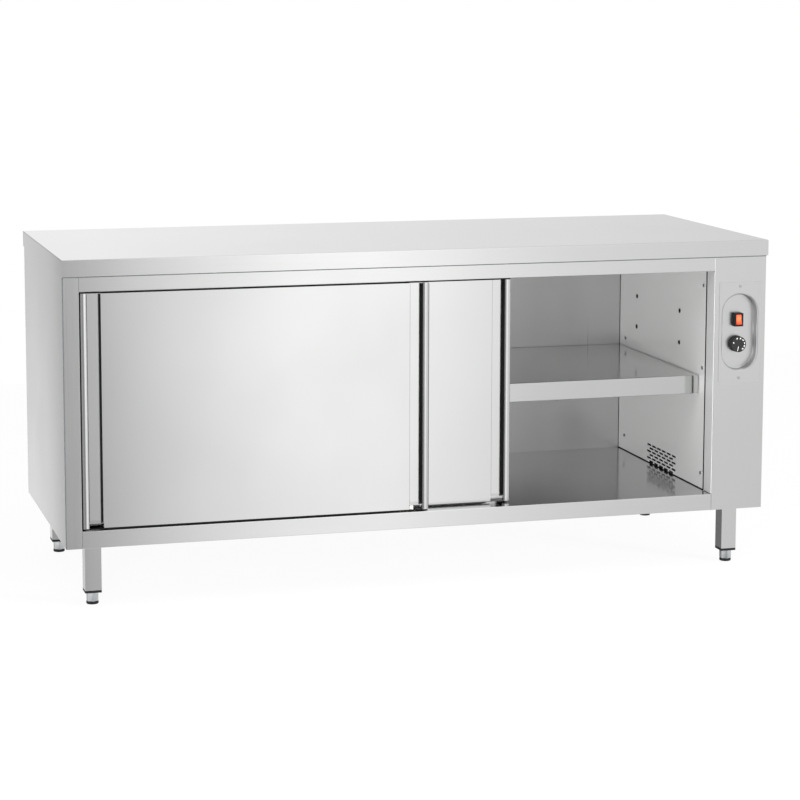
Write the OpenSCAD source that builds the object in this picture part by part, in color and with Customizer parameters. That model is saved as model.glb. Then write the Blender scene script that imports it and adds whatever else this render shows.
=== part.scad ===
// Heated plate cabinet on legs: folded stainless steel, two top-hung sliding
// doors, one shelf, and a control post with a fan heater at the right.
// Frame: X to the right, Y to the back, Z up, origin on the floor under the
// middle of the worktop. Millimetres.

/* [Cabinet] */
// Width over the worktop
width = 1800; // [1400:10:2400]
// Depth over the worktop
depth = 700; // [620:10:800]
// Height from the floor to the top of the worktop
height = 845; // [780:5:900]
// Clear height under the body, feet screwed in
leg_height = 150; // [120:5:200]
// Sheet of the body, the doors and the shelf
sheet = 1.2; // [0.8:0.1:1.5]
// Inner radius of a bend in the sheet
bend_r = 0.6; // [0.3:0.1:1.2]

/* [Worktop] */
// Height of the worktop's folded edge
worktop_h = 40; // [34:1:60]
// Sheet of the worktop
worktop_t = 1.5; // [1:0.1:2]
// Radius of the worktop's upper edges
edge_r = 3; // [2:0.5:6]
// Width of the return under the worktop's edge
return_w = 22; // [18:1:30]
// Worktop in front of the body
front_overhang = 8; // [4:1:20]
// Worktop past each side of the body
side_overhang = 2; // [0.5:0.5:10]
// Worktop behind the body
back_overhang = 4; // [1:1:20]
// Thickness of the board glued under the worktop's sheet
board_t = 16; // [10:1:18]
// Ends of the worktop's stiffeners from the side of the body
stiffener_end = 60; // [40:1:120]
// Back stiffener of the worktop from the back of the body
stiffener_back = 90; // [60:1:140]

/* [Front frame] */
// Width of the left stile
stile_w = 39; // [36:1:60]
// Width of the control post at the right
post_w = 140; // [132:1:180]
// Height of the top rail
top_rail_h = 38; // [36:1:60]
// Height of the bottom rail
bottom_rail_h = 42; // [36:1:60]
// Depth of the stile's and the post's side faces
frame_d = 47; // [30:1:60]
// Depth of the bottom rail's upper return
rail_top_d = 12; // [8:1:20]
// Depth of the bottom rail's lower return
rail_foot_d = 25; // [16:1:30]

/* [Inner cabinet] */
// Distance from the inner back wall to the outer face of the back
back_cavity = 28; // [26:1:50]
// Drop of the ceiling below the underside of the worktop
ceiling_drop = 12; // [6:1:20]
// Slit between an inner wall and the frame, and between a wall and the deck
slit = 3.5; // [1:0.5:6]
// Width of the hidden flanges of the panels
flange = 15; // [10:1:18]

/* [Doors] */
// Thickness of a door
door_t = 36; // [30:1:40]
// Front door behind the front of the frame
door_inset = 6; // [3:0.5:10]
// Gap between the two doors
door_gap = 4; // [3:0.5:8]
// Gap around the doors inside the frame
door_clear = 4; // [3:0.5:6]
// How far the closed doors overlap
door_overlap = 105; // [100:1:140]
// How far the rear door is slid open to the left
rear_open = 527; // [0:1:560]
// Groove for the floor guide along the bottom of a door
groove_w = 10; // [8:1:14]

/* [Door pulls] */
// Width of the pull at each end of a door
pull_w = 49; // [40:1:60]
// Depth of the hand channel from the door's face
pull_d = 34; // [20:1:34.5]
// Width of the lip at the door's edge
lip_w = 13; // [10:1:18]
// Height of the channel's lower end above the door's bottom
pull_foot = 12; // [11:1:20]

/* [Running gear] */
// Outer radius of a roller
roller_r = 11; // [10:0.5:12]
// Radius of the roller at the bottom of its groove
tread_r = 9; // [7:0.5:9.5]
// Width of a roller
roller_w = 10; // [9:0.5:11]
// Radius of a roller's axle
axle_r = 3; // [2:0.25:4]
// Roller axle from the end of the door
roller_inset = 90; // [70:1:160]
// Sheet of the track and the thickness of its running edge
track_t = 2; // [1.5:0.1:2.5]
// Height of the track's running edge
track_lip = 9; // [7:0.5:10]
// Steel plate of the hangers
hanger_t = 3; // [2:0.5:3.5]

/* [Shelf] */
// Height of the shelf's top above the deck
shelf_z = 295; // [200:1:340]
// Height of the shelf's front edge
shelf_lip = 48; // [30:1:60]
// Shelf front behind the front of the frame
shelf_setback = 90; // [88:1:140]
// Gap between the shelf and the walls
shelf_clear = 3; // [2:0.5:6]
// Return at the lower end of the shelf's front edge
shelf_return = 12; // [8:1:20]
// Height of the shelf's back edge
shelf_back = 20; // [14:1:30]
// Height of the stiffeners under the shelf
stiffener_h = 22; // [14:1:26]
// Radius of the holes for the shelf pegs
peg_hole_r = 5; // [4:0.25:6]
// Distance between the heights at which the shelf can hang
peg_pitch = 84; // [60:1:90]
// Front row of pegs behind the front of the frame
peg_front = 228; // [180:1:260]
// Back row of pegs behind the front of the frame
peg_back = 532; // [440:1:540]

/* [Vent in the right wall] */
// Rows of slots
vent_rows = 6; // [3:1:7]
// Slots in a long row
vent_slots = 6; // [3:1:7]
// Length of a slot
slot_l = 26; // [16:1:28]
// Height of a slot
slot_h = 3.6; // [2:0.1:4]
// Distance between slots along a row
slot_pitch = 35; // [32:1:38]
// Distance between rows
row_pitch = 9; // [7:0.5:9.5]
// Lowest row above the deck
vent_z = 5; // [5:0.5:12]
// Middle of the vent behind the front of the frame
vent_y = 341; // [300:1:360]

/* [Legs and feet] */
// Outer size of the square leg tube
leg_w = 40; // [35:1:50]
// Wall of the leg tube
leg_t = 1.5; // [1:0.1:3]
// Leg from the body's side
leg_inset_x = 50; // [40:1:70]
// Leg from the body's front or back
leg_inset_y = 42; // [41:1:70]
// Lower end of the leg tube above the floor
leg_cut = 36; // [34:1:50]
// Height of the black collar under the tube
collar_h = 6; // [4:0.5:8]
// Radius of the foot's threaded spindle
spindle_r = 5; // [4:0.5:6]
// Width across the flats of the foot
foot_af = 27; // [22:1:32]
// Radius of the foot's pad
pad_r = 15; // [12:0.5:18]
// Height of the foot's pad
pad_h = 7; // [4:0.5:10]
// How far a foot can be screwed out
foot_travel = 30; // [10:1:35]

/* [Control panel] */
// Width of the control plate
plate_w = 113; // [112:1:120]
// Height of the control plate
plate_h = 258; // [230:1:300]
// Sheet of the control plate
plate_t = 1; // [0.8:0.1:1.5]
// Middle of the control plate below the worktop
plate_drop = 196; // [170:1:260]
// Width of the pressed recess
recess_w = 94; // [80:1:94]
// Height of the pressed recess
recess_h = 194; // [170:1:220]
// Depth of the pressed recess
recess_d = 21; // [16:0.5:24]
// Bend radius of the pressed recess
recess_r = 3; // [1:0.5:5]
// Switch above the middle of the plate
switch_up = 31; // [28:1:50]
// Knob below the middle of the plate
knob_down = 32; // [28:1:50]
// Radius of the knob
knob_r = 21; // [16:0.5:24]
// Height of the knob
knob_h = 18; // [12:0.5:20]
// Width of the switch
switch_w = 24; // [22:0.5:28]
// Height of the switch
switch_h = 34; // [30:0.5:38]
// How far the switch stands out of the recess's floor
switch_d = 17; // [12:0.5:18]
// Tilt of the rocker from the middle to either side
rocker_tilt = 8; // [4:0.5:10]

/* [Fan heater] */
// Radius of the fan's drum
drum_r = 25; // [18:0.5:26]
// Length of the fan's drum
drum_l = 190; // [140:1:200]
// Number of blades
blades = 24; // [16:1:30]
// Gap between the drum and its housing
drum_gap = 7; // [4:0.5:8]
// Radius of the heating tube
heater_r = 4; // [3:0.25:5]
// Number of fins on the heating tube
fins = 22; // [12:1:26]
// Radius of the opening for the mains cable
cable_r = 5; // [4:0.25:6.5]
// Cable gland in front of the middle of the back leg
gland_inset = 95; // [70:1:160]
// Terminal block in front of the cable gland
block_gap = 60; // [40:1:120]

/* [Hidden] */
$fn = 48;

steel = "#d3d5d6";
steel_dark = "#9b9ea0";
zinc = "#a9adae";
black = "#1d1d1f";
grey = "#8d9092";
white = "#e9e7e0";
wool = "#c9b36a";
red = "#e8502e";

bend_steps = 3;      // straight pieces that make up one bend
eps = 0.01;          // overshoot of a cut past the face that it opens
run_gap = 0.05;      // radial gap of a shaft that turns in a bore
rest_gap = 0.3;      // gap between pieces that lie on each other and move

// Body under the worktop
x_left = -width/2 + side_overhang;
x_right = width/2 - side_overhang;
y_front = -depth/2 + front_overhang;
y_back = depth/2 - back_overhang;
z_base = leg_height;
z_body = height - worktop_h;

// Opening in the front frame
open_l = x_left + stile_w;
open_r = x_right - post_w;
open_b = z_base + bottom_rail_h;
open_t = z_body - top_rail_h;

// Inner cabinet
pan_top = z_base + 2*sheet;
wall_y0 = y_front + frame_d + slit;
wall_y1 = y_back - back_cavity;
ceiling_z = z_body - ceiling_drop;
side_flange = flange;

// Doors: the two lanes, one behind the other, and the run of both
run_l = open_l + door_clear;
run_r = open_r - door_clear;
door_w = (run_r - run_l + door_overlap)/2;
door_b = open_b + door_clear;
door_top = open_t - door_clear;
front_lane = y_front + door_inset;
rear_lane = front_lane + door_t + door_gap;
front_x = run_l;
rear_x = run_r - door_w - rear_open;
door_flange = (door_t - groove_w)/2;

// Track and rollers
track_web = 13;                            // web in front of the running edge
track_z = door_top + hanger_t + 5;         // underside of the track
track_top = track_z + track_lip;           // top of the running edge
axle_z = track_top + tread_r + rest_gap;
hanger_w = 50;
hanger_y = roller_w/2 + 1;                 // hanger plate behind the lane's middle
axle_head = 2;
stop_l = 12;

// Floor guide, in the middle of the run
guide_x = (run_l + run_r)/2;
guide_play = 1;
guide_base = 2.5;
guide_l = door_overlap - 2*(lip_w + sheet) - 40;
guide_top = door_b + pull_foot - sheet - 2.5;

// Shelf
shelf_top = open_b + shelf_z;
peg_r = peg_hole_r - 0.2;
shelf_flange = 13;
peg_z = shelf_top - shelf_flange - peg_r - rest_gap;
peg_ys = [y_front + peg_front, y_front + peg_back];
peg_in = 14;
shelf_y0 = y_front + shelf_setback;
shelf_y1 = wall_y1 - shelf_clear;

// Screws of the inner walls
screw_r = 2;
screw_head_r = 4.5;
screw_ys = [wall_y0 + 20, wall_y1 - 46];
screw_zs = [open_b + 42, shelf_top + 22, open_t - 44];

// Vent
vent_mid = y_front + vent_y;
vent_low = open_b + vent_z;
vent_high = vent_low + (vent_rows - 1)*row_pitch;

// Legs
leg_plate_w = leg_w + 30;
leg_plate_t = 3;
leg_top = z_base + sheet;
leg_bolt_r = 3;
leg_bolt_x = leg_w/2 + 2;
leg_bolt_y = leg_w/2 + 6;
leg_x = [x_left + leg_inset_x + leg_w/2, x_right - leg_inset_x - leg_w/2];
leg_y = [y_front + leg_inset_y + leg_w/2, y_back - leg_inset_y - leg_w/2];
plug_h = 22;
plug_play = 0.2;
foot_top = leg_cut - collar_h - rest_gap;
spindle_top = leg_cut + foot_travel + plug_h;

// Control plate
post_x = (open_r + x_right)/2;
plate_z = z_body - plate_drop;
plate_y = y_front - plate_t;               // front face of the plate
recess_y = plate_y + recess_d;             // front face of the recess's floor
recess_mid = recess_h/2 - recess_w/2;      // from the middle to the centre of a round end
switch_z = plate_z + switch_up;
knob_z = plate_z - knob_down;
plate_screw_z = (plate_h/2 + recess_h/2)/2 + 5;
bush_r = 5;
shaft_r = 3;
window_w = switch_w - 9;
window_h = switch_h - 7;
pivot_y = recess_y - switch_d + 5.5;
pivot_r = 1.5;
rocker_r = window_h/2 - 0.5;

// Fan heater behind the vent
wall_x = open_r + sheet;
drum_x = wall_x + 32 + drum_r;
scroll_r = drum_r + drum_gap;
duct_lo = vent_low - slot_h;
drum_z = duct_lo + scroll_r;
duct_hi = vent_high + slot_h;
scroll_t = 1;
scroll_l = drum_l + 16;
heater_x = wall_x + 14;
heater_l = drum_l - 20;
heater_zs = [duct_lo + 13, duct_hi - 13];
gland_y = leg_y[1] - gland_inset;
block_y = gland_y - block_gap;

// Geometry of folded sheet
function unit(v) = v/norm(v);
function turned(v, a) = [v.x*cos(a) - v.y*sin(a), v.x*sin(a) + v.y*cos(a)];
function left_of(d) = [-d.y, d.x];
function turn(a, b) = atan2(a.x*b.y - a.y*b.x, a*b);
function bend(p, d0, d1, t, r, far) =
    let (a = turn(d0, d1), s = sign(a), near_r = s > 0 ? r + t : r,
         n0 = left_of(d0), n1 = left_of(d1),
         c = p + s*near_r*(n0 + n1)/(1 + n0*n1),
         q = far ? near_r - s*t : near_r)
    [for (k = [0:bend_steps]) c - s*q*turned(n0, a*k/bend_steps)];
// Outline of a sheet folded along a path, its thickness to the left of it
function folded(path, t=sheet, r=bend_r) =
    let (n = len(path), d = [for (i = [0:n - 2]) unit(path[i + 1] - path[i])])
    concat(
        [path[0]],
        [for (i = [1:n - 2]) each bend(path[i], d[i - 1], d[i], t, r, false)],
        [path[n - 1], path[n - 1] + t*left_of(d[n - 2])],
        [for (i = [n - 2:-1:1])
            let (b = bend(path[i], d[i - 1], d[i], t, r, true))
            each [for (k = [bend_steps:-1:0]) b[k]]],
        [path[0] + t*left_of(d[0])]);

module along_x(x0, x1) translate([x0, 0, 0]) rotate([90, 0, 90])
    linear_extrude(x1 - x0) children();
module along_y(y0, y1) translate([0, y1, 0]) rotate([90, 0, 0])
    linear_extrude(y1 - y0) children();
module along_z(z0, z1) translate([0, 0, z0]) linear_extrude(z1 - z0) children();
module box(lo, hi) translate(lo) cube(hi - lo);
module rod_x(x0, x1, y, z, r) translate([x0, y, z]) rotate([0, 90, 0]) cylinder(h=x1 - x0, r=r);
module rod_y(y0, y1, x, z, r) translate([x, y1, z]) rotate([90, 0, 0]) cylinder(h=y1 - y0, r=r);
module rod_z(z0, z1, x, y, r) translate([x, y, z0]) cylinder(h=z1 - z0, r=r);
// Hat-shaped stiffener along X, closed side down, between two heights
module hat(x0, x1, y, z0, z1, w=40, brim=14)
    along_x(x0, x1) polygon(folded([
        [y + w/2 + brim, z1], [y + w/2, z1], [y + w/2, z0 + sheet],
        [y - w/2, z0 + sheet], [y - w/2, z1], [y - w/2 - brim, z1]]));

// Worktop: folded sheet with rounded upper edges, board and stiffeners
module edge_section(w) translate([0, z_body]) {
    translate([-w/2, 0]) square([w, worktop_h - edge_r]);
    translate([edge_r - w/2, 0]) square([w - 2*edge_r, worktop_h]);
    for (s = [-1, 1]) translate([s*(w/2 - edge_r), worktop_h - edge_r]) circle(edge_r);
}

module worktop() color(steel) difference() {
    intersection() {
        along_x(-width/2, width/2) edge_section(depth);
        along_y(-depth/2, depth/2) edge_section(width);
    }
    box([worktop_t - width/2, worktop_t - depth/2, z_body + worktop_t],
        [width/2 - worktop_t, depth/2 - worktop_t, height - worktop_t]);
    box([return_w - width/2, return_w - depth/2, z_body - eps],
        [width/2 - return_w, depth/2 - return_w, z_body + 2*worktop_t]);
}

board_z = height - worktop_t - board_t;
module worktop_board() color(wool) box(
    [2*worktop_t - width/2, 2*worktop_t - depth/2, board_z],
    [width/2 - 2*worktop_t, depth/2 - 2*worktop_t, height - worktop_t]);

module worktop_stiffeners() color(zinc)
    for (y = [(front_lane + rear_lane + door_t)/2, 0, y_back - stiffener_back])
        hat(x_left + stiffener_end, x_right - stiffener_end, y, z_body, board_z);

// Body panels
// Shallow tray that opens towards +X, the outer face at x
module side_tray(x) difference() {
    y0 = y_front + sheet + 0.8;
    y1 = y_back - sheet;
    box([x, y0, z_base], [x + side_flange, y1, z_body]);
    box([x + sheet, y0 + sheet, z_base + sheet],
        [x + side_flange + eps, y1 - sheet, z_body - sheet]);
}

module side_panel_left() color(steel) side_tray(x_left);
module side_panel_right() color(steel) mirror([1, 0, 0]) side_tray(-x_right);

module back_panel() color(steel) {
    box([x_left, y_back - sheet, z_base], [x_right, y_back, z_body]);
    along_x(x_left + side_flange + 1, x_right - side_flange - 1) polygon(folded([
        [y_back - side_flange, z_base], [y_back, z_base],
        [y_back, z_body], [y_back - side_flange, z_body]]));
}

// Notch at the foot of a folded upright, where it stands over the base pan
module pan_notch() box([x_left, y_front + 2*sheet, z_base - 1],
    [x_right, y_front + frame_d + 1, z_base + flange + 1]);

module stile_left() color(steel) difference() {
    along_z(z_base, z_body) polygon(folded([
        [x_left, y_front], [open_l, y_front],
        [open_l, y_front + frame_d], [open_l - flange, y_front + frame_d]]));
    pan_notch();
}

module control_post() color(steel) difference() {
    along_z(z_base, z_body) polygon(folded([
        [open_r + flange, y_front + frame_d], [open_r, y_front + frame_d],
        [open_r, y_front], [x_right, y_front]]));
    pan_notch();
    along_y(y_front - 1, y_front + sheet + 1) stadium(recess_w/2 + plate_t + recess_r + 0.5);
    for (s = [-1, 1])
        rod_y(y_front - 1, y_front + sheet + 1, post_x, plate_z + s*plate_screw_z, screw_r + run_gap);
}

module top_rail() color(steel) along_x(open_l, open_r) polygon(folded([
    [y_front + 9, z_body], [y_front, z_body],
    [y_front, open_t], [y_front + 5, open_t]]));

module bottom_rail() color(steel) along_x(open_l, open_r) polygon(folded([
    [y_front + rail_top_d, open_b], [y_front, open_b],
    [y_front, z_base], [y_front + rail_foot_d, z_base]]));

module base_pan() color(steel_dark) difference() {
    lo = [x_left + 2*sheet, y_front + 2*sheet + 1, z_base + sheet];
    hi = [x_right - 2*sheet, y_back - 2*sheet, z_base + flange];
    box(lo, hi);
    box([lo.x + sheet, lo.y + sheet, pan_top], [hi.x - sheet, hi.y - sheet, hi.z + eps]);
    for (x = leg_x, y = leg_y, i = [-1, 1], j = [-1, 1])
        rod_z(z_base, pan_top + 1, x + i*leg_bolt_x, y + j*leg_bolt_y, leg_bolt_r + run_gap);
    rod_z(z_base, pan_top + 1, post_x, gland_y, gland_r + run_gap);
}

module floor_deck() color(steel) difference() {
    x0 = open_l + 0.5;
    x1 = open_r - slit;
    y0 = y_front + rail_top_d + 0.5;
    box([x0, y0, pan_top], [x1, wall_y1 - 0.5, open_b]);
    box([x0 + sheet, y0 + sheet, pan_top - eps],
        [x1 - sheet, wall_y1 - 0.5 - sheet, open_b - sheet]);
}

// Side wall of the heated space, its inner face on x = 0 and its flanges at +X
module wall_section() polygon(folded([
    [flange, wall_y1], [0, wall_y1], [0, wall_y0], [flange, wall_y0]]));
module inner_wall() difference() {
    along_z(pan_top, z_body) wall_section();
    for (y = peg_ys, i = [0:2]) rod_x(-1, sheet + 1, y, peg_z + i*peg_pitch, peg_hole_r);
    for (y = screw_ys, z = screw_zs) rod_x(-1, sheet + 1, y, z, screw_r + run_gap);
}
module inner_wall_left() color(steel) translate([open_l, 0, 0]) mirror([1, 0, 0]) inner_wall();

module slot(y, z) hull_free_slot(y - slot_l/2 + slot_h/2, y + slot_l/2 - slot_h/2, z);
module hull_free_slot(y0, y1, z) {
    box([open_r - 1, y0, z - slot_h/2], [open_r + sheet + 1, y1, z + slot_h/2]);
    for (y = [y0, y1]) rod_x(open_r - 1, open_r + sheet + 1, y, z, slot_h/2);
}
module inner_wall_right() color(steel) difference() {
    translate([open_r, 0, 0]) inner_wall();
    for (row = [0:vent_rows - 1])
        let (n = vent_slots - row % 2)
        for (i = [0:n - 1])
            slot(vent_mid + (i - (n - 1)/2)*slot_pitch, vent_high - row*row_pitch);
}

module inner_wall_back() color(steel)
    box([open_l - flange, wall_y1, pan_top], [open_r + flange, wall_y1 + sheet, z_body]);

ceiling_y0 = rear_lane + door_t + 6;
module ceiling_panel() color(steel) along_x(open_l + 0.5, open_r - 0.5) polygon(folded([
    [ceiling_y0, z_body], [ceiling_y0, ceiling_z],
    [wall_y1 - 0.5, ceiling_z], [wall_y1 - 0.5, z_body]]));

wool_gap = 0.5;
module insulation() color(wool) {
    // left side, pierced by the pegs and screws, then back, deck and ceiling
    difference() {
        box([x_left + sheet, wall_y0 + 2*sheet, z_base + flange + 1],
            [open_l - sheet, wall_y1 - 2*sheet, z_body - 2*sheet]);
        for (y = peg_ys) rod_x(open_l - 9, open_l, y, peg_z, peg_r + wool_gap);
        for (y = screw_ys, z = screw_zs) rod_x(open_l - 9, open_l, y, z, screw_r + wool_gap);
    }
    box([open_l, wall_y1 + sheet, z_base + flange + 1],
        [open_r, y_back - sheet, z_body - 2*sheet]);
    box([open_l + leg_inset_x + leg_plate_w, y_front + rail_top_d + 2*sheet + wool_gap, pan_top],
        [open_r - slit - 2*sheet, wall_y1 - 2*sheet - wool_gap, open_b - sheet]);
    box([open_l + 1, ceiling_y0 + 2*sheet, ceiling_z + sheet],
        [open_r - 1, wall_y1 - 2*sheet - wool_gap, z_body]);
}

// Door running gear
module track_section(y) polygon(folded([
    [y + 2, z_body], [y - track_web, z_body], [y - track_web, track_z],
    [y + track_t/2, track_z], [y + track_t/2, track_top]], track_t, 1));
function lane_mid(lane) = lane + door_t/2;

module door_track() color(zinc) along_x(open_l, open_r) {
    for (lane = [front_lane, rear_lane]) track_section(lane_mid(lane));
    translate([lane_mid(front_lane) - track_web + 3, z_body - track_t])
        square([rear_lane - front_lane, track_t]);
}

module track_stops() color(black)
    for (lane = [front_lane, rear_lane], s = [-1, 1]) {
        y = lane_mid(lane);
        end = s < 0 ? run_l + roller_inset - roller_r - rest_gap - stop_l
                    : run_r - roller_inset + roller_r + rest_gap;
        box([end, y - track_web + track_t + 1, track_z + track_t],
            [end + stop_l, y - track_t/2 - 1.2, axle_z + 4]);
    }

module door_guide() color(white) {
    y0 = lane_mid(front_lane) - 12;
    y1 = lane_mid(rear_lane) + 12;
    box([guide_x - guide_l/2, y0, open_b], [guide_x + guide_l/2, y1, open_b + guide_base]);
    for (lane = [front_lane, rear_lane])
        box([guide_x - guide_l/2, lane_mid(lane) - groove_w/2 + guide_play, open_b],
            [guide_x + guide_l/2, lane_mid(lane) + groove_w/2 - guide_play, guide_top]);
}

// A door stands with its left edge at x and its face at y
module door_skin(x, y) color(steel) along_x(x + pull_w, x + door_w - pull_w) polygon(folded([
    [y + door_flange, door_top], [y, door_top], [y, door_b], [y + door_flange, door_b]]));

// Pull at the left end: hand channel, lip and edge folded from one sheet
module pull(x, y) {
    along_z(door_b + pull_foot, door_top) polygon(folded([
        [x + pull_w, y], [x + pull_w, y + pull_d], [x + lip_w, y + pull_d],
        [x + lip_w, y + sheet], [x + sheet, y + sheet], [x + sheet, y + door_t - sheet]]));
    along_z(door_b, door_b + pull_foot) polygon(folded([
        [x + lip_w, y + door_flange - sheet], [x + lip_w, y + sheet], [x + sheet, y + sheet],
        [x + sheet, y + door_t - sheet]]));
    for (z = [door_b + pull_foot, door_top - sheet])
        box([x + lip_w, y + 1.5, z], [x + pull_w, y + pull_d, z + sheet]);
}
module door_pulls(x, y) color(steel) {
    pull(x, y);
    translate([x + door_w, 0, 0]) mirror([1, 0, 0]) pull(0, y);
}

module door_liner(x, y) color(steel) {
    box([x, y + door_t - sheet, door_b], [x + door_w, y + door_t, door_top]);
    along_x(x + pull_w + 1, x + door_w - pull_w - 1) polygon(folded([
        [y + door_t - door_flange, door_b], [y + door_t, door_b],
        [y + door_t, door_top], [y + door_t - door_flange, door_top]]));
}

module door_core(x, y) color(wool) box(
    [x + pull_w + 1, y + sheet, door_b + pull_foot + 4],
    [x + door_w - pull_w - 1, y + door_t - sheet, door_top - 2*sheet]);

function roller_xs(x) = [x + roller_inset, x + door_w - roller_inset];

// Angle bracket on the door's top with the axle that carries a roller
module hanger(x, lane) {
    y = lane_mid(lane);
    difference() {
        union() {
            box([x - hanger_w/2, y - 12, door_top], [x + hanger_w/2, y + hanger_y + hanger_t, door_top + hanger_t]);
            box([x - hanger_w/2, y + hanger_y, door_top], [x + hanger_w/2, y + hanger_y + hanger_t, axle_z - 6]);
            box([x - 9, y + hanger_y, door_top], [x + 9, y + hanger_y + hanger_t, axle_z]);
            rod_y(y + hanger_y, y + hanger_y + hanger_t, x, axle_z, 9);
        }
        for (i = [-1, 1]) rod_z(door_top - 1, door_top + hanger_t + 1, x + i*17, y - 2, 2.5);
    }
    rod_y(y - roller_w/2 - 0.4, y + hanger_y + hanger_t + 1.5, x, axle_z, axle_r);
    rod_y(y - roller_w/2 - 0.4 - axle_head, y - roller_w/2 - 0.4, x, axle_z, axle_r + 2);
}
module door_hangers(x, lane) color(zinc) for (rx = roller_xs(x)) hanger(rx, lane);

// Roller with a groove that straddles the track's running edge
module roller(x, lane) color(white) translate([x, lane_mid(lane), axle_z]) rotate([90, 0, 0])
    rotate_extrude() polygon([
        [axle_r + run_gap, -roller_w/2], [roller_r - 1, -roller_w/2], [roller_r, 1 - roller_w/2],
        [roller_r, -track_t], [tread_r, -track_t/2 - 0.4], [tread_r, track_t/2 + 0.4],
        [roller_r, track_t], [roller_r, roller_w/2 - 1], [roller_r - 1, roller_w/2],
        [axle_r + run_gap, roller_w/2]]);

// Legs and feet
module leg(x, y) color(steel) {
    z1 = leg_top - leg_plate_t;
    difference() {
        box([x - leg_w/2, y - leg_w/2, leg_cut], [x + leg_w/2, y + leg_w/2, z1]);
        box([x - leg_w/2 + leg_t, y - leg_w/2 + leg_t, leg_cut - 1],
            [x + leg_w/2 - leg_t, y + leg_w/2 - leg_t, z1 + eps]);
    }
    difference() {
        box([x - leg_plate_w/2, y - leg_plate_w/2, z1], [x + leg_plate_w/2, y + leg_plate_w/2, leg_top]);
        for (i = [-1, 1], j = [-1, 1])
            rod_z(z1 - 1, leg_top + 1, x + i*leg_bolt_x, y + j*leg_bolt_y, leg_bolt_r + run_gap);
    }
}

module leg_collars() color(black) for (x = leg_x, y = leg_y) difference() {
    union() {
        box([x - leg_w/2, y - leg_w/2, leg_cut - collar_h], [x + leg_w/2, y + leg_w/2, leg_cut]);
        w = leg_w/2 - leg_t - plug_play;
        box([x - w, y - w, leg_cut - eps], [x + w, y + w, leg_cut + plug_h]);
    }
    rod_z(leg_cut - collar_h - 1, leg_cut + plug_h + 1, x, y, spindle_r + run_gap);
}

module leg_bolts() color(zinc)
    for (x = leg_x, y = leg_y, i = [-1, 1], j = [-1, 1])
        translate([x + i*leg_bolt_x, y + j*leg_bolt_y, leg_top]) {
            translate([0, 0, -leg_plate_t - 4]) cylinder(h=4, r=5, $fn=6);
            translate([0, 0, -leg_plate_t - 1]) cylinder(h=leg_plate_t + sheet + 9, r=leg_bolt_r);
            translate([0, 0, sheet]) cylinder(h=5, r=5, $fn=6);
        }

// Foot: threaded spindle and hexagon in one, on a pad
module foot(x, y) {
    color(grey) {
        translate([x, y, pad_h]) cylinder(h=foot_top - pad_h, d=foot_af/cos(30), $fn=6);
        rod_z(foot_top - 1, spindle_top, x, y, spindle_r);
    }
    color(black) {
        rod_z(0, 2, x, y, pad_r - 1);
        rod_z(1, pad_h, x, y, pad_r);
    }
}

// Shelf
module shelf_panel() color(steel) {
    x0 = open_l + shelf_clear;
    x1 = open_r - shelf_clear;
    along_x(x0, x1) polygon(folded([
        [shelf_y0 + shelf_return, shelf_top - shelf_lip + sheet], [shelf_y0 + sheet, shelf_top - shelf_lip + sheet],
        [shelf_y0 + sheet, shelf_top - sheet], [shelf_y1 - sheet, shelf_top - sheet],
        [shelf_y1 - sheet, shelf_top - shelf_back]], sheet, bend_r));
    for (x = [x0, x1 - sheet])
        box([x, shelf_y0 + 2*sheet, shelf_top - shelf_flange], [x + sheet, shelf_y1 - 2*sheet, shelf_top - sheet/2]);
}

module shelf_stiffeners() color(zinc)
    for (f = [0.3, 0.7])
        hat(open_l + shelf_clear + 3, open_r - shelf_clear - 3, shelf_y0 + f*(shelf_y1 - shelf_y0),
            shelf_top - sheet - stiffener_h, shelf_top - sheet);

module shelf_pegs() color(zinc) for (y = peg_ys) {
    rod_x(open_r - peg_in, open_r + 8, y, peg_z, peg_r);
    rod_x(open_r - 1.5, open_r, y, peg_z, peg_r + 2.5);
    rod_x(open_l - 8, open_l + peg_in, y, peg_z, peg_r);
    rod_x(open_l, open_l + 1.5, y, peg_z, peg_r + 2.5);
}

module wall_screws() color(zinc) for (y = screw_ys, z = screw_zs) {
    rod_x(open_r - 1, open_r + 8, y, z, screw_r);
    rod_x(open_r - 2, open_r, y, z, screw_head_r);
    rod_x(open_l - 8, open_l + 1, y, z, screw_r);
    rod_x(open_l, open_l + 2, y, z, screw_head_r);
}

// Control plate with its pressed recess
module stadium(r, mid=recess_mid) translate([post_x, plate_z]) {
    for (s = [-1, 1]) translate([0, s*mid]) circle(r);
    translate([-r, -mid]) square([2*r, 2*mid]);
}

rim = 5;
// Section of the pressed wall: x from the axis, y along the depth, plate face at 0
recess_section = folded([
    [recess_w/2 + rim, 0], [recess_w/2, 0],
    [recess_w/2, -recess_d], [recess_w/2 - rim - recess_r, -recess_d]
], plate_t, recess_r);

// Half of the pressed wall at a round end, s = 1 for the upper one
module recess_end(s) translate([post_x, plate_y, plate_z + s*recess_mid])
    rotate([90, s > 0 ? 0 : 180, 0]) rotate_extrude(angle=180) polygon(recess_section);
module recess_side(s) translate([post_x, plate_y, plate_z - recess_mid])
    mirror([s < 0 ? 1 : 0, 0, 0]) linear_extrude(2*recess_mid)
        polygon([for (p = recess_section) [p.x, -p.y]]);

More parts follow.
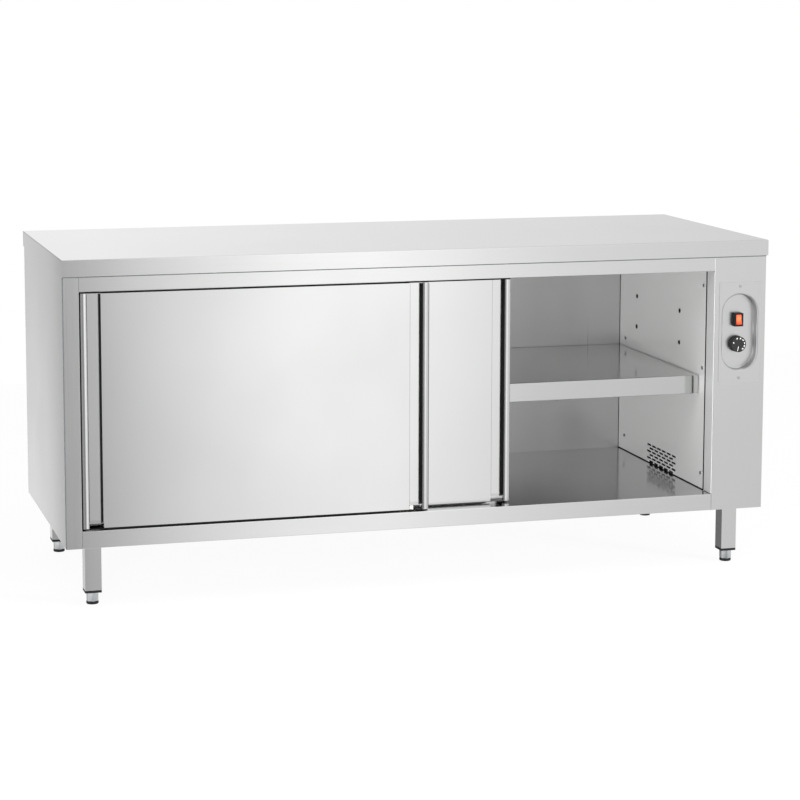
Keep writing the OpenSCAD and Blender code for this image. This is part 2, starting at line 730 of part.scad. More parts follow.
module control_plate() color(steel) difference() {
    union() {
        difference() {
            along_y(plate_y, plate_y + plate_t) translate([post_x - plate_w/2, plate_z - plate_h/2])
                square([plate_w, plate_h]);
            along_y(plate_y - 1, plate_y + plate_t + 1) stadium(recess_w/2 + rim - 0.5);
        }
        for (s = [-1, 1]) {
            recess_end(s);
            recess_side(s);
        }
        along_y(recess_y, recess_y + plate_t) stadium(recess_w/2 - rim - recess_r + 0.5);
    }
    for (s = [-1, 1])
        rod_y(plate_y - 1, plate_y + plate_t + 1, post_x, plate_z + s*plate_screw_z, screw_r + run_gap);
    rod_y(recess_y - 1, recess_y + plate_t + 1, post_x, knob_z, bush_r + run_gap);
    box([post_x - switch_w/2 + 1.3, recess_y - 1, switch_z - switch_h/2 + 2.3],
        [post_x + switch_w/2 - 1.3, recess_y + plate_t + 1, switch_z + switch_h/2 - 2.3]);
}

module plate_screws() color(steel) for (s = [-1, 1]) {
    z = plate_z + s*plate_screw_z;
    rod_y(plate_y - 1, plate_y + 8, post_x, z, screw_r);
    difference() {
        rod_y(plate_y - 1.6, plate_y, post_x, z, screw_head_r - 1);
        box([post_x - 0.5, plate_y - 2, z - 3], [post_x + 0.5, plate_y - 0.9, z + 3]);
    }
}

module switch_housing() color(black) difference() {
    y0 = recess_y - switch_d;
    union() {
        box([post_x - switch_w/2, y0, switch_z - switch_h/2], [post_x + switch_w/2, recess_y, switch_z + switch_h/2]);
        box([post_x - switch_w/2 + 1.5, recess_y - 1, switch_z - switch_h/2 + 2.5],
            [post_x + switch_w/2 - 1.5, recess_y + 20, switch_z + switch_h/2 - 2.5]);
        for (i = [-1, 1], j = [-1, 1])
            box([post_x + i*5 - 0.4, recess_y + 19, switch_z + j*9 - 3], [post_x + i*5 + 0.4, recess_y + 28, switch_z + j*9 + 3]);
    }
    box([post_x - window_w/2, y0 - 1, switch_z - window_h/2], [post_x + window_w/2, pivot_y + 8, switch_z + window_h/2]);
    rod_x(post_x - window_w/2 - 2.6, post_x + window_w/2 + 2.6, pivot_y, switch_z, pivot_r + run_gap);
}

// Rocker on its two pivot stubs, its upper half pressed in
module switch_rocker() color(red) translate([post_x, pivot_y, switch_z]) rotate([-rocker_tilt, 0, 0]) {
    translate([-window_w/2 + 0.3, 0, 0]) rotate([90, 0, 90]) linear_extrude(window_w - 0.6) intersection() {
        circle(rocker_r);
        polygon([[4, -rocker_r], [4, rocker_r], [-6, rocker_r], [-4, 0], [-6, -rocker_r]]);
    }
    rotate([0, 90, 0]) translate([0, 0, -window_w/2 - 2.2]) cylinder(h=window_w + 4.4, r=pivot_r);
}

module thermostat() color(grey) difference() {
    union() {
        box([post_x - 18, recess_y + plate_t, knob_z - 18], [post_x + 18, recess_y + plate_t + 22, knob_z + 18]);
        rod_y(recess_y - 6, recess_y + plate_t + 1, post_x, knob_z, bush_r);
        for (i = [-1, 1]) box([post_x + i*9 - 0.4, recess_y + 20, knob_z - 4], [post_x + i*9 + 0.4, recess_y + 32, knob_z + 4]);
    }
    rod_y(recess_y - 7, recess_y + 18, post_x, knob_z, shaft_r + run_gap);
}

knob_back = recess_y - rest_gap;
notches = 24;
module thermostat_knob() color(black) {
    difference() {
        translate([post_x, knob_back, knob_z]) rotate([90, 0, 0]) cylinder(h=knob_h, r1=knob_r, r2=knob_r - 0.8, $fn=96);
        for (i = [0:notches - 1]) let (a = i*360/notches)
            rod_y(knob_back - knob_h + 3, knob_back - 2.5, post_x + (knob_r + 0.5)*sin(a), knob_z + (knob_r + 0.5)*cos(a), 1.3);
        rod_y(knob_back - 9, knob_back + 1, post_x, knob_z, bush_r + 3);
    }
    rod_y(knob_back - 10, recess_y + 16, post_x, knob_z, shaft_r);
}

// Fan heater: scroll housing against the wall, drum, motor and finned tube
module scroll_section(grow) {
    translate([drum_x, drum_z]) circle(scroll_r + grow);
    translate([wall_x, duct_lo - grow]) square([drum_x - wall_x, duct_hi - duct_lo + 2*grow]);
}
module fan_housing() color(zinc) {
    y0 = vent_mid - scroll_l/2;
    y1 = vent_mid + scroll_l/2;
    difference() {
        along_y(y0, y1) scroll_section(scroll_t);
        along_y(y0 + scroll_t, y1 - scroll_t) {
            scroll_section(0);
            translate([wall_x - 1, duct_lo]) square([2, duct_hi - duct_lo]);
        }
        // air intake along the top, and the shaft's holes in the end plates
        box([drum_x - 4, y0 + 10, drum_z], [drum_x + drum_r - 4, y1 - 10, drum_z + scroll_r + 4]);
        rod_y(y0 - 1, y1 + 1, drum_x, drum_z, shaft_r + run_gap);
    }
    difference() {
        for (z = [duct_lo - 12, duct_hi + scroll_t])
            box([wall_x, y0, z], [wall_x + scroll_t, y1, z + 12 - scroll_t]);
        along_y(y0 - 1, y1 + 1) scroll_section(0);
    }
}

module fan_drum() color(zinc) {
    y0 = vent_mid - drum_l/2;
    for (y = [y0, y0 + drum_l - 2]) rod_y(y, y + 2, drum_x, drum_z, drum_r);
    rod_y(vent_mid - scroll_l/2 - 4, vent_mid + scroll_l/2 + 28, drum_x, drum_z, shaft_r);
    translate([drum_x, y0 + drum_l - 1, drum_z]) rotate([90, 0, 0]) linear_extrude(drum_l - 2)
        for (i = [0:blades - 1]) rotate(i*360/blades) translate([drum_r - 4.5, 0]) difference() {
            circle(4, $fn=24);
            translate([-1, 0.6]) circle(4, $fn=24);
            translate([-8, -8]) square([8, 16]);
        }
}

motor_y = vent_mid + scroll_l/2;
module fan_motor() color(steel_dark) difference() {
    union() {
        box([drum_x - 28, motor_y + 6, drum_z - 20], [drum_x + 28, motor_y + 26, drum_z + 34]);
        box([drum_x - 14, motor_y + 1, drum_z + 14], [drum_x + 14, motor_y + 32, drum_z + 30]);
        rod_y(motor_y, motor_y + 34, drum_x, drum_z, 9);
        for (s = [-1, 1]) rod_y(motor_y, motor_y + 7, drum_x + s*22, drum_z + 4, 3);
    }
    rod_y(motor_y - 1, motor_y + 30, drum_x, drum_z, shaft_r + run_gap);
}

// Hairpin tube with fins, carried by the housing's end plates
module heating_element() color(steel_dark) {
    y0 = vent_mid - heater_l/2;
    y1 = vent_mid + heater_l/2;
    half = (heater_zs[1] - heater_zs[0])/2;
    for (z = heater_zs) rod_y(y0, vent_mid + scroll_l/2 - scroll_t, heater_x, z, heater_r);
    translate([heater_x, y0, (heater_zs[0] + heater_zs[1])/2]) rotate([0, -90, 0])
        rotate([0, 0, 180]) rotate_extrude(angle=180) translate([half, 0]) circle(heater_r);
    for (i = [0:fins - 1]) let (y = y0 + 8 + i*(heater_l - 16)/(fins - 1))
        box([heater_x - 8, y - 0.4, duct_lo + 3], [heater_x + 8, y + 0.4, duct_hi - 3]);
}

// Terminal block and cable gland on the base pan
module terminal_block() color(white) difference() {
    box([post_x - 35, block_y - 12, pan_top], [post_x + 35, block_y + 12, pan_top + 20]);
    for (i = [-2:2]) {
        rod_z(pan_top + 8, pan_top + 21, post_x + i*13, block_y, 3);
        box([post_x + i*13 - 4.5, block_y - 13, pan_top + 3], [post_x + i*13 + 4.5, block_y - 8, pan_top + 12]);
    }
}

gland_r = 8;
gland_low = z_base - 16;
module cable_gland() color(black) difference() {
    union() {
        rod_z(gland_low, z_base + sheet, post_x, gland_y, gland_r + 2);
        rod_z(z_base, pan_top + 12, post_x, gland_y, gland_r);
        translate([post_x, gland_y, z_base - 4]) cylinder(h=4 + sheet, r=gland_r + 6, $fn=6);
        translate([post_x, gland_y, pan_top]) cylinder(h=5, r=gland_r + 5, $fn=6);
    }
    rod_z(gland_low - 1, pan_top + 13, post_x, gland_y, cable_r);
}

worktop();
worktop_board();
worktop_stiffeners();
side_panel_left();
side_panel_right();
back_panel();
stile_left();
control_post();
top_rail();
bottom_rail();
base_pan();
floor_deck();
inner_wall_left();
inner_wall_right();
inner_wall_back();
ceiling_panel();
insulation();
door_track();
track_stops();
door_guide();
leg(leg_x[0], leg_y[0]);  // leg_front_left
leg(leg_x[1], leg_y[0]);  // leg_front_right
leg(leg_x[0], leg_y[1]);  // leg_back_left
leg(leg_x[1], leg_y[1]);  // leg_back_right
leg_collars();
leg_bolts();
foot(leg_x[0], leg_y[0]);  // foot_front_left
foot(leg_x[1], leg_y[0]);  // foot_front_right
foot(leg_x[0], leg_y[1]);  // foot_back_left
foot(leg_x[1], leg_y[1]);  // foot_back_right
shelf_panel();
shelf_stiffeners();
shelf_pegs();
wall_screws();
door_skin(front_x, front_lane);  // front_door_skin
door_pulls(front_x, front_lane);  // front_door_pulls
door_liner(front_x, front_lane);  // front_door_liner
door_core(front_x, front_lane);  // front_door_core
door_hangers(front_x, front_lane);  // front_door_hangers
roller(roller_xs(front_x)[0], front_lane);  // front_roller_left
roller(roller_xs(front_x)[1], front_lane);  // front_roller_right
door_skin(rear_x, rear_lane);  // rear_door_skin
door_pulls(rear_x, rear_lane);  // rear_door_pulls
door_liner(rear_x, rear_lane);  // rear_door_liner
door_core(rear_x, rear_lane);  // rear_door_core
door_hangers(rear_x, rear_lane);  // rear_door_hangers
roller(roller_xs(rear_x)[0], rear_lane);  // rear_roller_left
roller(roller_xs(rear_x)[1], rear_lane);  // rear_roller_right
control_plate();
plate_screws();
switch_housing();
switch_rocker();
thermostat();
thermostat_knob();
fan_housing();
fan_drum();
fan_motor();
heating_element();
terminal_block();
cable_gland();
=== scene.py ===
import math
import bpy
from mathutils import Matrix, Vector


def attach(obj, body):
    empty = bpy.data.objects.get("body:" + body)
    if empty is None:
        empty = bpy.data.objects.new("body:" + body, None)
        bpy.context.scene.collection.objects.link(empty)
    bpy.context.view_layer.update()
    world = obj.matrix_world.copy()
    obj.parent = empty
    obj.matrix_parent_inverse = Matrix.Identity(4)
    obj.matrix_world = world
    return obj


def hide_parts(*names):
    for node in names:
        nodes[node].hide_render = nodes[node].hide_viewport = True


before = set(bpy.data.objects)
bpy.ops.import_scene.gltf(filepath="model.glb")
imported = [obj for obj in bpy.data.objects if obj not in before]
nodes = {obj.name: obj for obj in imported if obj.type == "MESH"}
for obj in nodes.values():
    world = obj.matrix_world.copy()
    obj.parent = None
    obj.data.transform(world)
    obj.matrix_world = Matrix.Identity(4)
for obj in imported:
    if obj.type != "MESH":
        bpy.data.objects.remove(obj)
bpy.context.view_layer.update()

MM = 0.001

# Camera where the photographer stood: left of the middle, above the worktop.
# The long lens and the lowered frame give the upright edges of the picture.
bpy.ops.object.camera_add(
    location=(-1.7112, -6.0463, 1.5048),
    rotation=[math.radians(a) for a in (82.4902, -0.1489, -16.1443)])
camera = bpy.context.object
camera.name = "camera"
camera.data.lens = 110.24
camera.data.shift_x = -0.00746
camera.data.shift_y = -0.125
bpy.context.scene.camera = camera
bpy.context.scene.view_settings.view_transform = "Standard"


# Studio: a white sweep, which the camera sees as plain white. The steel mirrors
# a cyclorama whose bright and dark bands were set until the reflections
# matched the photograph from its own viewpoint.
def srgb(code):
    parts = [int(code[i:i + 2], 16)/255 for i in (1, 3, 5)]
    return [c/12.92 if c <= 0.04045 else ((c + 0.055)/1.055)**2.4 for c in parts] + [1]


def add_node(tree, kind, links=None, **settings):
    made = tree.nodes.new(kind)
    for name, value in settings.items():
        setattr(made, name, value)
    for socket, value in (links or {}).items():
        if isinstance(value, bpy.types.NodeSocket):
            tree.links.new(value, made.inputs[socket])
        else:
            made.inputs[socket].default_value = value
    return made


def grey_ramp(tree, place, stops):
    """Grey levels along one direction of the sky; a stop is (direction, level)."""
    made = add_node(tree, "ShaderNodeValToRGB", {0: add_node(
        tree, "ShaderNodeMapRange", {0: place, 1: -1.0, 2: 1.0}).outputs[0]})
    stops = [((at + 1)/2, level) for at, level in stops]
    ends = made.color_ramp.elements
    ends[0].position, ends[0].color = stops[0][0], [stops[0][1]]*3 + [1]
    ends[1].position, ends[1].color = stops[-1][0], [stops[-1][1]]*3 + [1]
    for at, level in stops[1:-1]:
        ends.new(at).color = [level]*3 + [1]
    return made.outputs[0]


world = bpy.data.worlds.new("studio")
bpy.context.scene.world = world
world.use_nodes = True
tree = world.node_tree
tree.nodes.clear()
look = add_node(tree, "ShaderNodeTexCoord")
split = add_node(tree, "ShaderNodeSeparateXYZ", {0: look.outputs["Generated"]})
front_across = grey_ramp(tree, split.outputs["X"], (
    (-1.0, 1.1), (-0.62, 1.1), (-0.5, 0.55), (-0.3, 0.6), (-0.15, 0.6), (0.1, 0.3), (0.14, 0.4),
    (0.18, 1.2), (0.24, 1.6), (0.28, 1.5), (0.32, 1.0), (0.42, 0.9), (0.6, 0.9), (1.0, 0.9)))
front_up = grey_ramp(tree, split.outputs["Z"], (
    (-1.0, 0.6), (-0.5, 0.82), (-0.3, 0.84), (-0.2, 0.85), (-0.12, 1.0), (1.0, 1.0)))
front_sky = add_node(tree, "ShaderNodeMix", {
    0: 1.0, 6: front_across, 7: front_up}, data_type="RGBA", blend_type="MULTIPLY").outputs[2]
back_across = grey_ramp(tree, split.outputs["X"], (
    (-1.0, 0.8), (-0.5, 0.25), (-0.38, 0.12), (-0.2, 0.3), (-0.148, 0.45),
    (-0.115, 1.0), (0.15, 1.0), (0.42, 0.75), (1.0, 0.9)))
back_up = grey_ramp(tree, split.outputs["Z"], (
    (-1.0, 1.0), (-0.24, 1.3), (-0.12, 1.0), (1.0, 1.0)))
back_sky = add_node(tree, "ShaderNodeMix", {
    0: 1.0, 6: back_across, 7: back_up}, data_type="RGBA", blend_type="MULTIPLY").outputs[2]
behind = add_node(tree, "ShaderNodeMapRange", {0: split.outputs["Y"], 1: -0.25, 2: 0.25})
around = add_node(tree, "ShaderNodeMix", {
    0: behind.outputs[0], 6: front_sky, 7: back_sky}, data_type="RGBA")
path = add_node(tree, "ShaderNodeLightPath")
lit = add_node(tree, "ShaderNodeBackground", {0: around.outputs[2], 1: 1.0})
white = add_node(tree, "ShaderNodeBackground", {0: (1, 1, 1, 1), 1: 1.0})
both = add_node(tree, "ShaderNodeMixShader", {
    0: path.outputs["Is Camera Ray"], 1: lit.outputs[0], 2: white.outputs[0]})
add_node(tree, "ShaderNodeOutputWorld", {0: both.outputs[0]})

bpy.ops.mesh.primitive_plane_add(size=6, location=(0, 0, -0.6*MM))
floor = bpy.context.object
floor.name = "studio_floor"
paper = bpy.data.materials.new("white paper sweep")
paper.use_nodes = True
tree = paper.node_tree
tree.nodes.clear()
path = add_node(tree, "ShaderNodeLightPath")
matt = add_node(tree, "ShaderNodeBsdfDiffuse", {0: srgb("#f4f4f4")})
glow = add_node(tree, "ShaderNodeEmission", {0: (1, 1, 1, 1), 1: 1.0})
clear = add_node(tree, "ShaderNodeBsdfTransparent")
share = add_node(tree, "ShaderNodeMath", {
    0: path.outputs["Is Camera Ray"], 1: 0.93}, operation="MULTIPLY")
seen = add_node(tree, "ShaderNodeMixShader", {
    0: share.outputs[0], 1: matt.outputs[0], 2: glow.outputs[0]})
# the steel looks through the paper at the sweep's own gradient
both = add_node(tree, "ShaderNodeMixShader", {
    0: path.outputs["Is Glossy Ray"], 1: seen.outputs[0], 2: clear.outputs[0]})
add_node(tree, "ShaderNodeOutputMaterial", {0: both.outputs[0]})
floor.data.materials.append(paper)

# a dark card behind the left end, which only the steel mirrors, shades the side
# panel towards its front corner
bpy.ops.mesh.primitive_plane_add(size=1, location=(-1.56, 1.0, 0.6), rotation=(math.pi/2, 0, 0))
card = bpy.context.object
card.name = "studio_card"
card.scale = (1.0, 2.4, 1)
grey_card = bpy.data.materials.new("grey studio card")
grey_card.use_nodes = True
tree = grey_card.node_tree
tree.nodes.clear()
path = add_node(tree, "ShaderNodeLightPath")
shade = add_node(tree, "ShaderNodeEmission", {0: (1, 1, 1, 1), 1: 0.38})
clear = add_node(tree, "ShaderNodeBsdfTransparent")
both = add_node(tree, "ShaderNodeMixShader", {
    0: path.outputs["Is Glossy Ray"], 1: clear.outputs[0], 2: shade.outputs[0]})
add_node(tree, "ShaderNodeOutputMaterial", {0: both.outputs[0]})
card.data.materials.append(grey_card)


def softbox(name, place, turn, power, width, depth=None):
    """A lamp that lights the matt surfaces only; the steel mirrors the cyclorama."""
    bpy.ops.object.light_add(type="AREA", location=place)
    lamp = bpy.context.object
    lamp.name = name
    lamp.rotation_euler = [math.radians(angle) for angle in turn]
    lamp.data.size = width
    if depth:
        lamp.data.shape = "RECTANGLE"
        lamp.data.size_y = depth
    lamp.data.energy = power
    lamp.visible_glossy = False


softbox("low side softbox", (-2.3, -4.6, 0.6), (90, 0, -33), 270, 0.9)
softbox("right softbox", (3.9, -3.6, 1.2), (82, 0, 50), 260, 0.9)
softbox("overhead softbox", (-0.6, -1.6, 3.4), (24, -8, 0), 45, 3.2, 2.0)


# Worktop: one sheet of 18/10 stainless, folded down all round, brushed along
# its length. The brushing gives the eye fine streaks and a soft long highlight.
def finish(material, *names):
    for name in names:
        mesh = nodes[name].data
        mesh.materials.clear()
        mesh.materials.append(material)


def brushed_stainless(name, along, colour="#d7d8d7", rough=0.14, bump=0.03, tone=0.05,
                      metallic=1.0):
    # grit lines 0.8 mm apart and 180 mm long: coarser than the real 0.1 mm,
    # which this picture could not show
    made = bpy.data.materials.new(name)
    made.use_nodes = True
    tree = made.node_tree
    steel = tree.nodes["Principled BSDF"]
    steel.inputs["Metallic"].default_value = metallic
    place = add_node(tree, "ShaderNodeTexCoord")
    lines = [5.5 if axis == along else 1250.0 for axis in "XYZ"]
    fine = add_node(tree, "ShaderNodeMapping", {0: place.outputs["Object"], 3: lines})
    grit = add_node(tree, "ShaderNodeTexNoise", {
        0: fine.outputs[0], "Scale": 1.0, "Detail": 3.0, "Roughness": 0.6})
    # the slow change from one roll of sheet to the next, 300 mm across
    slow = add_node(tree, "ShaderNodeTexNoise", {
        0: place.outputs["Object"], "Scale": 3.3, "Detail": 2.0})
    low = [c*(1 - tone) for c in srgb(colour)[:3]] + [1]
    mix = add_node(tree, "ShaderNodeMix", {
        0: grit.outputs[0], 6: low, 7: srgb(colour)}, data_type="RGBA")
    tree.links.new(mix.outputs[2], steel.inputs["Base Color"])
    both = add_node(tree, "ShaderNodeMath", {
        0: grit.outputs[0], 1: slow.outputs[0]}, operation="ADD")
    gloss = add_node(tree, "ShaderNodeMapRange", {
        0: both.outputs[0], 1: 0.6, 2: 1.4, 3: rough - 0.03, 4: rough + 0.04})
    tree.links.new(gloss.outputs[0], steel.inputs["Roughness"])
    relief = add_node(tree, "ShaderNodeBump", {
        "Height": grit.outputs[0], "Strength": bump, "Distance": 0.2*MM})
    tree.links.new(relief.outputs[0], steel.inputs["Normal"])
    return made


steel_long = brushed_stainless("stainless steel brushed lengthwise", "X")
finish(steel_long, "worktop")


# Board under the worktop: particle board, glued to the sheet to deaden it.
# Pressed chips give it brown and straw flecks a few millimetres across.
def flecked(name, dark, light, size, rough, bump, squash=(1, 1, 1)):
    made = bpy.data.materials.new(name)
    made.use_nodes = True
    tree = made.node_tree
    skin = tree.nodes["Principled BSDF"]
    place = add_node(tree, "ShaderNodeTexCoord")
    scaled = add_node(tree, "ShaderNodeMapping", {0: place.outputs["Object"], 3: squash})
    grain = add_node(tree, "ShaderNodeTexNoise", {
        0: scaled.outputs[0], "Scale": 1/size, "Detail": 5.0, "Roughness": 0.7})
    mix = add_node(tree, "ShaderNodeMix", {
        0: grain.outputs[0], 6: srgb(dark), 7: srgb(light)}, data_type="RGBA")
    tree.links.new(mix.outputs[2], skin.inputs["Base Color"])
    wear = add_node(tree, "ShaderNodeMapRange", {
        0: grain.outputs[0], 3: rough - 0.06, 4: rough + 0.06})
    tree.links.new(wear.outputs[0], skin.inputs["Roughness"])
    relief = add_node(tree, "ShaderNodeBump", {
        "Height": grain.outputs[0], "Strength": bump, "Distance": size/4})
    tree.links.new(relief.outputs[0], skin.inputs["Normal"])
    return made


finish(flecked("particle board", "#8a6a48", "#d8bd94", 4*MM, 0.8, 0.3), "worktop_board")


# Hidden stiffeners, the base pan, the track, leg bolts and shelf pegs: galvanised
# sheet, whose zinc freezes in pale grey spangles about 12 mm across. The hangers
# are coloured near black as painted shade, for the dark notches above the doors.
def galvanised(name, dark="#a7abad", light="#bfc3c5", rough=0.42):
    made = bpy.data.materials.new(name)
    made.use_nodes = True
    tree = made.node_tree
    zinc = tree.nodes["Principled BSDF"]
    zinc.inputs["Metallic"].default_value = 1.0
    place = add_node(tree, "ShaderNodeTexCoord")
    crystals = add_node(tree, "ShaderNodeTexVoronoi", {
        0: place.outputs["Object"], "Scale": 1/(12*MM)})
    shade = add_node(tree, "ShaderNodeMix", {
        0: crystals.outputs["Color"], 6: srgb(dark), 7: srgb(light)}, data_type="RGBA")
    tree.links.new(shade.outputs[2], zinc.inputs["Base Color"])
    gloss = add_node(tree, "ShaderNodeMapRange", {
        0: crystals.outputs["Distance"], 3: rough - 0.08, 4: rough + 0.1})
    tree.links.new(gloss.outputs[0], zinc.inputs["Roughness"])
    return made


zinc_sheet = galvanised("hot-dip galvanised sheet")
finish(zinc_sheet, "worktop_stiffeners", "base_pan", "door_track", "shelf_stiffeners",
       "leg_bolts", "shelf_pegs")
# near black on the hangers: painted shade for the dark notches above the doors
finish(galvanised("near-black steel, painted shade", "#3a3c3e", "#45484a", 0.5), "front_door_hangers",
       "rear_door_hangers")

# Body: side panels and back are shallow trays brushed upright, and the front
# frame is folded from the same sheet, its rails brushed lengthwise.
steel_upright = brushed_stainless("stainless steel brushed upright", "Z")
finish(steel_upright, "side_panel_left", "side_panel_right", "back_panel", "stile_left",
       "control_post", "leg_front_left", "leg_front_right", "leg_back_left", "leg_back_right")
finish(steel_long, "top_rail", "bottom_rail")

# Inner cabinet: cold-rolled sheet as it leaves the mill, smoother and a little
# darker than outside, so deck and shelf mirror the walls. The walls are set part
# matt, since as full metal they came out darker than in the photograph.
steel_mill = brushed_stainless(
    "stainless steel cold rolled", "Y", colour="#cacbca", rough=0.12, bump=0.012, tone=0.02)
finish(steel_mill, "floor_deck", "ceiling_panel", "shelf_panel")
# the inner walls' near-white colour is painted light, lifting them above the deck's tone
steel_wall_painted_light = brushed_stainless(
    "stainless steel cold rolled upright", "Z", colour="#f6f6f5", rough=0.16,
    bump=0.012, tone=0.02, metallic=0.45)
finish(steel_wall_painted_light, "inner_wall_left", "inner_wall_right")
# the back wall, cut from the same sheet, is darkened grey as painted shade
finish(brushed_stainless("stainless steel cold rolled, darkened as painted shade", "Z", colour="#b8b8b8", rough=0.3,
                         bump=0.012, tone=0.02, metallic=0.7), "inner_wall_back")
finish(flecked("mineral wool", "#8d7a3c", "#d9cb8e", 6*MM, 0.95, 0.8, (1, 1, 3)),
       "insulation", "front_door_core", "rear_door_core")


# Wall screws: pan-head steel screws that hold the inner walls, pressed with a
# cross recess and zinc plated, with a shank that goes through the sheet.
def shape(operator, name, **sizes):
    """A primitive at its size and place, which is then the only thing selected."""
    bpy.ops.object.select_all(action="DESELECT")
    operator(**sizes)
    piece = bpy.context.object
    piece.name = piece.data.name = name
    bpy.ops.object.transform_apply(location=True, rotation=True, scale=True)
    return piece


def pick(piece, part, test):
    """Edit mode with the faces or edges selected that pass the test on middle and direction."""
    bpy.context.view_layer.objects.active = piece
    bpy.ops.object.mode_set(mode="EDIT")
    bpy.ops.mesh.select_mode(type=part)
    bpy.ops.mesh.select_all(action="DESELECT")
    bpy.ops.object.mode_set(mode="OBJECT")
    if part == "FACE":
        for face in piece.data.polygons:
            face.select = test(face.center, face.normal)
    else:
        for edge in piece.data.edges:
            a, b = (piece.data.vertices[i].co for i in edge.vertices)
            edge.select = test((a + b)/2, (b - a).normalized())
    bpy.ops.object.mode_set(mode="EDIT")


def leave():
    bpy.ops.object.mode_set(mode="OBJECT")


def shaped_by(piece, kind, **settings):
    """A modifier with these settings, applied."""
    step = piece.modifiers.new(kind.lower(), kind)
    for name, value in settings.items():
        setattr(step, name, value)
    bpy.context.view_layer.objects.active = piece
    bpy.ops.object.modifier_apply(modifier=step.name)


def cut(piece, cutter):
    shaped_by(piece, "BOOLEAN", object=cutter, operation="DIFFERENCE", solver="EXACT")
    bpy.data.objects.remove(cutter)


def copied(piece, name, matrix):
    made = piece.copy()
    made.data = piece.data.copy()
    made.name = made.data.name = name
    made.data.transform(matrix)
    bpy.context.collection.objects.link(made)
    return made


def joined(name, made):
    bpy.ops.object.select_all(action="DESELECT")
    for piece in made:
        piece.select_set(True)
    bpy.context.view_layer.objects.active = made[0]
    bpy.ops.object.join()
    made[0].name = made[0].data.name = name
    return made[0]


def coated(piece, material, angle=35):
    piece.data.materials.clear()
    piece.data.materials.append(material)
    bpy.ops.object.select_all(action="DESELECT")
    piece.select_set(True)
    bpy.context.view_layer.objects.active = piece
    bpy.ops.object.shade_smooth_by_angle(angle=math.radians(angle))


screw = shape(bpy.ops.mesh.primitive_cylinder_add, "screw", vertices=32, radius=4.5*MM,
              depth=2*MM, location=(-1*MM, 0, 0), rotation=(0, math.pi/2, 0))
pick(screw, "EDGE", lambda at, way: at.x < -1.9*MM)
bpy.ops.mesh.bevel(offset=1.5*MM, segments=4)
pick(screw, "FACE", lambda at, way: way.x > 0.9)
bpy.ops.mesh.inset(thickness=2.55*MM)
bpy.ops.mesh.extrude_region_move(TRANSFORM_OT_translate={"value": (8*MM, 0, 0)})
leave()
for turn in (0, math.pi/2):
    cross = shape(bpy.ops.mesh.primitive_cube_add, "cross", size=1, location=(-2*MM, 0, 0),
                  rotation=(turn, 0, 0), scale=(2.2*MM, 4.6*MM, 0.9*MM))
    pick(cross, "FACE", lambda at, way: way.x > 0.9)
    bpy.ops.transform.resize(value=(1, 0.45, 0.45))
    leave()
    cut(screw, cross)
screw_heights = 234*MM, 509*MM, 723*MM
wall_right, wall_left = 758*MM, -859*MM
turned_round = Matrix.Rotation(math.pi, 4, "Z")
screws = []
for y in (-271.5*MM, 272*MM):
    for z in screw_heights:
        right = Matrix.Translation((wall_right, y, z))
        left = Matrix.Translation((wall_left, y, z)) @ turned_round
        screws += [copied(screw, "screw", right), copied(screw, "screw", left)]
bpy.data.objects.remove(screw)
wall_screws = joined("wall_screw_heads", screws)
bright_zinc = galvanised("bright zinc plating", "#a9acae", "#b3b6b8", 0.32)
coated(wall_screws, bright_zinc)
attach(wall_screws, "cabinet")
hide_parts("wall_screws")

# Vent: rows of stadium slots punched in the right wall in front of the fan. This
# is a copy of the wall with its 26 x 3.6 mm slots opened to 30 x 5.2 mm, so that
# they show as boldly as in the photograph, where they read as 4 to 5 mm tall.
vent_y, vent_top, row_pitch, slot_pitch = -1*MM, 242*MM, 9*MM, 35*MM
slot_l, slot_h, vent_rows, longest_row = 30*MM, 5.2*MM, 6, 6
vented = bpy.data.objects.new("vented_wall", nodes["inner_wall_right"].data.copy())
bpy.context.collection.objects.link(vented)
pick(vented, "FACE", lambda at, way: True)
bpy.ops.mesh.remove_doubles(threshold=0.001*MM)
leave()
punch = shape(bpy.ops.mesh.primitive_cube_add, "punch", size=1,
              location=(wall_right + 0.5*MM, 0, 0), scale=(5*MM, slot_l, slot_h))
pick(punch, "EDGE", lambda at, way: abs(way.x) > 0.9)
bpy.ops.mesh.bevel(offset=slot_h/2 - 0.02*MM, segments=6)
leave()
punches = []
for row in range(vent_rows):
    count = longest_row - row % 2
    for i in range(count):
        at = vent_y + (i - (count - 1)/2)*slot_pitch, vent_top - row*row_pitch
        punches.append(copied(punch, "punch", Matrix.Translation((0, *at))))
bpy.data.objects.remove(punch)
cut(vented, joined("punches", punches))
coated(vented, steel_wall_painted_light, 1)
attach(vented, "cabinet")
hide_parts("inner_wall_right")

# Feet: a turned spindle with a rolled thread and a hexagon for the spanner, in
# plated steel, on a black moulded pad that spares the floor.
foot_places = {
    "front_left": (-828*MM, -280*MM), "front_right": (828*MM, -280*MM),
    "back_left": (-828*MM, 284*MM), "back_right": (828*MM, 284*MM)}


def spun(name, outline, steps=48):
    """A solid of revolution about Z from (radius, height) points, extruded one by one and spun."""
    piece = shape(bpy.ops.mesh.primitive_plane_add, name, size=0.1*MM)
    bpy.ops.object.mode_set(mode="EDIT")
    bpy.ops.mesh.select_mode(type="VERT")
    bpy.ops.mesh.select_all(action="SELECT")
    bpy.ops.mesh.merge(type="CENTER")
    bpy.ops.transform.translate(value=(outline[0][0], 0, outline[0][1]))
    for (r0, z0), (r1, z1) in zip(outline, outline[1:]):
        bpy.ops.mesh.extrude_vertices_move(
            TRANSFORM_OT_translate={"value": (r1 - r0, 0, z1 - z0)})
    bpy.ops.mesh.select_all(action="SELECT")
    bpy.ops.mesh.spin(steps=steps, angle=2*math.pi, center=(0, 0, 0), axis=(0, 0, 1))
    bpy.ops.mesh.select_all(action="SELECT")
    bpy.ops.mesh.remove_doubles(threshold=0.001*MM)
    bpy.ops.mesh.normals_make_consistent(inside=False)
    leave()
    return piece


